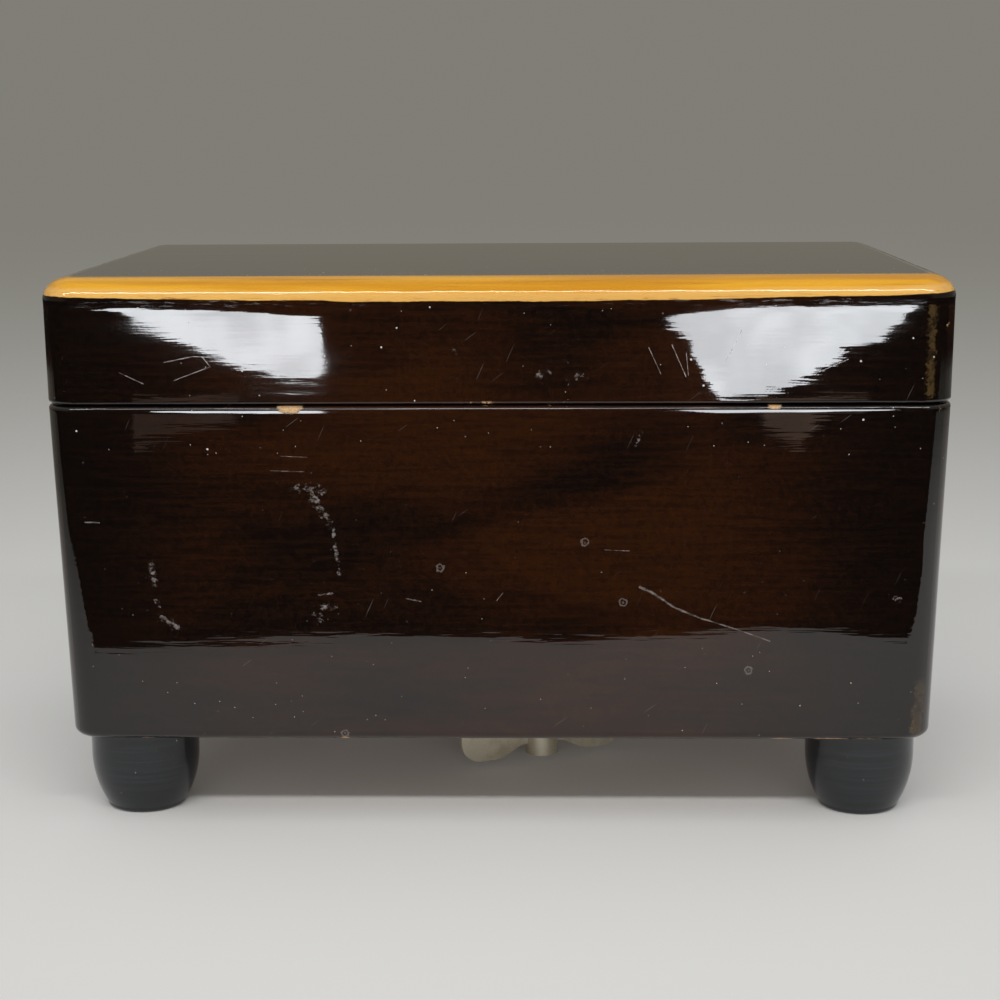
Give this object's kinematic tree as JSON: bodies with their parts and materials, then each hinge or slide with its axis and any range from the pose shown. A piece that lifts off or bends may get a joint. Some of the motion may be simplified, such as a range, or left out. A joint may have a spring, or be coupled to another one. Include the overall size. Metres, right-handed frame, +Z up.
{
  "type": "music box",
  "caption": "Lacquered wooden music box on turned feet, with a hinged lid, mirror, lined wells and a key-wound comb and cylinder movement under glass.",
  "frame": {"origin": "on the floor under the middle of the box, hinges included", "axes": "+X right along the front, front face towards -Y, +Z up"},
  "size_m": [0.1604, 0.1026, 0.0998],
  "materials": {
    "dark_lacquer": "very dark brown gloss lacquer over fine straight grain, worn at the edges",
    "amber_lacquer": "honey clear lacquer over straight grain",
    "plain_wood": "bare oiled wood",
    "velvet": "dark red velvet",
    "pane_glass": "clear polished pane",
    "mirror_glass": "silvered",
    "hinge_brass": "aged brass",
    "cast_zinc": "cast grey metal, dull",
    "movement_brass": "clean brass",
    "steel": "bright steel",
    "lead": "dull grey lead",
    "aged_nickel": "worn nickel over brass"
  },
  "bodies": {
    "case": {"body_front": "dark_lacquer", "body_back": "dark_lacquer", "body_left": "dark_lacquer", "body_right": "dark_lacquer", "foot_front_left": "dark_lacquer", "foot_front_right": "dark_lacquer", "foot_back_left": "dark_lacquer", "foot_back_right": "dark_lacquer", "partition_left": "dark_lacquer", "partition_right": "dark_lacquer", "left_well_lining": "velvet", "right_well_lining": "velvet", "left_well_pad": "velvet", "right_well_pad": "velvet", "bottom_panel": "plain_wood", "glass_cleats": "dark_lacquer", "glass_pane": "pane_glass", "hinge_left_case_leaf": "hinge_brass", "hinge_right_case_leaf": "hinge_brass", "hinge_left_pin": "hinge_brass", "hinge_right_pin": "hinge_brass", "hinge_screws_case": "hinge_brass", "bedplate": "cast_zinc", "spring_barrel": "movement_brass", "mainspring": "steel", "cylinder_post": "movement_brass", "governor_frame": "cast_zinc", "comb": "steel", "comb_weights": "lead", "comb_screws": "steel", "bracket_screws": "steel", "movement_screws": "steel", "plunger_spring": "steel"},
    "lid": {"lid_front": "dark_lacquer", "lid_back": "dark_lacquer", "lid_left": "dark_lacquer", "lid_right": "dark_lacquer", "lid_panel": "dark_lacquer", "lid_rim": "amber_lacquer", "mirror": "mirror_glass", "lid_lining": "velvet", "hinge_left_lid_leaf": "hinge_brass", "hinge_right_lid_leaf": "hinge_brass", "hinge_screws_lid": "hinge_brass"},
    "winding": {"winding_arbor": "steel", "winding_key": "aged_nickel", "ratchet_wheel": "steel"},
    "crown": {"crown_wheel": "movement_brass", "click": "movement_brass", "click_screw": "steel", "click_spring": "steel"},
    "cylinder": {"pinned_cylinder": "movement_brass", "cylinder_arbor": "steel", "cylinder_pinion": "steel", "cylinder_wheel": "movement_brass"},
    "idler": {"idler_pinion": "steel", "idler_wheel": "movement_brass"},
    "governor": {"governor_spindle": "steel", "governor_fan": "movement_brass"},
    "plunger": {"stop_plunger": "steel"}
  },
  "joints": [
    {"name": "lid_hinge", "type": "hinge", "parent": "case", "child": "lid", "pos_m": [0, 0.04975, 0.07755], "axis": [-1, 0, 0], "range_deg": [0, 100]},
    {"name": "plunger_slide", "type": "slide", "parent": "case", "child": "plunger", "axis": [0, 0, 1], "range_m": [0, 0.0035]},
    {"name": "key_turn", "type": "hinge", "parent": "case", "child": "winding", "pos_m": [0.0075, -0.01125, 0.016], "axis": [0, 0, 1], "continuous": true},
    {"name": "crown_turn", "type": "hinge", "parent": "case", "child": "crown", "pos_m": [0.0075, -0.01125, 0.0348], "axis": [0, 0, 1], "continuous": true},
    {"name": "cylinder_turn", "type": "hinge", "parent": "case", "child": "cylinder", "pos_m": [-0.0072, -0.01125, 0.0407], "axis": [1, 0, 0], "continuous": true},
    {"name": "idler_turn", "type": "hinge", "parent": "case", "child": "idler", "pos_m": [-0.031, -0.01924, 0.0346], "axis": [1, 0, 0], "continuous": true},
    {"name": "governor_turn", "type": "hinge", "parent": "case", "child": "governor", "pos_m": [-0.031, -0.02489, 0.03971], "axis": [0, 0, 1], "continuous": true}
  ],
  "couplings": [
    {"joint": "plunger_slide", "follows": "lid_hinge", "m_per_rad": 0.0020054},
    {"joint": "cylinder_turn", "follows": "crown_turn", "ratio": -3},
    {"joint": "idler_turn", "follows": "crown_turn", "ratio": 12},
    {"joint": "governor_turn", "follows": "crown_turn", "ratio": 240}
  ]
}
